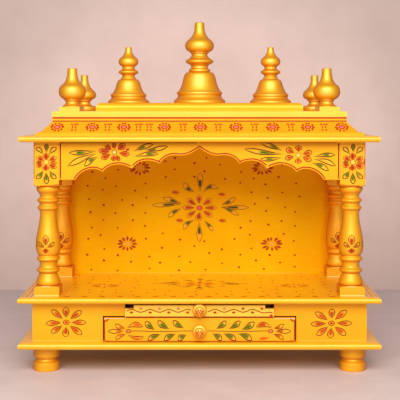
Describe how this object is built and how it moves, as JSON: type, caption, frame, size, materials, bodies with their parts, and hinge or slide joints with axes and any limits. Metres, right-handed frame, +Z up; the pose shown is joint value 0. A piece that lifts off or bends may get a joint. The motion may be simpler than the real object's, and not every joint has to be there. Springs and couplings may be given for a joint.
{
  "type": "home temple",
  "caption": "Painted wooden home shrine: drawer and tray base on turned feet, turned columns under a multifoil arch, stepped roof with bell-shaped domes and finials.",
  "frame": {"origin": "on the floor, under the middle of the bounding box", "axes": "+X to the object's left as seen from behind, that is to the right of someone who faces it; front towards -Y; +Z up"},
  "size_m": [0.611, 0.3006, 0.6016],
  "materials": {
    "gold_lacquer": "satin lacquer, gold-yellow, with painted flowers",
    "plain_lacquer": "plain satin lacquer, deep yellow"
  },
  "bodies": {
    "temple": {"foot_front_left": "gold_lacquer", "foot_front_right": "gold_lacquer", "foot_back_left": "gold_lacquer", "foot_back_right": "gold_lacquer", "base_board": "gold_lacquer", "box_front_left": "gold_lacquer", "box_front_right": "gold_lacquer", "box_side_left": "gold_lacquer", "box_side_right": "gold_lacquer", "box_back": "gold_lacquer", "drawer_guides": "plain_lacquer", "tray_rails": "plain_lacquer", "deck_board": "gold_lacquer", "column_front_left": "gold_lacquer", "column_front_right": "gold_lacquer", "column_back_left": "gold_lacquer", "column_back_right": "gold_lacquer", "front_arch": "gold_lacquer", "side_arch_left": "gold_lacquer", "side_arch_right": "gold_lacquer", "back_panel": "gold_lacquer", "crown_board": "gold_lacquer", "cornice_step": "gold_lacquer", "sloping_frieze": "gold_lacquer", "attic_band": "gold_lacquer", "attic_board_top": "gold_lacquer", "dome_plate": "gold_lacquer", "dome_centre": "gold_lacquer", "dome_left": "gold_lacquer", "dome_right": "gold_lacquer", "finial_pads": "gold_lacquer", "finial_front_left": "gold_lacquer", "finial_front_right": "gold_lacquer", "finial_back_left": "gold_lacquer", "finial_back_right": "gold_lacquer"},
    "drawer": {"drawer_front": "gold_lacquer", "drawer_side_left": "plain_lacquer", "drawer_side_right": "plain_lacquer", "drawer_back": "plain_lacquer", "drawer_bottom": "plain_lacquer", "drawer_knob": "gold_lacquer"},
    "tray": {"tray_lip": "gold_lacquer", "tray_board": "plain_lacquer", "tray_knob": "gold_lacquer"}
  },
  "joints": [
    {"name": "drawer_slide", "type": "slide", "parent": "temple", "child": "drawer", "axis": [0, -1, 0], "range_m": [0, 0.15]},
    {"name": "tray_slide", "type": "slide", "parent": "temple", "child": "tray", "axis": [0, -1, 0], "range_m": [0, 0.14]}
  ]
}
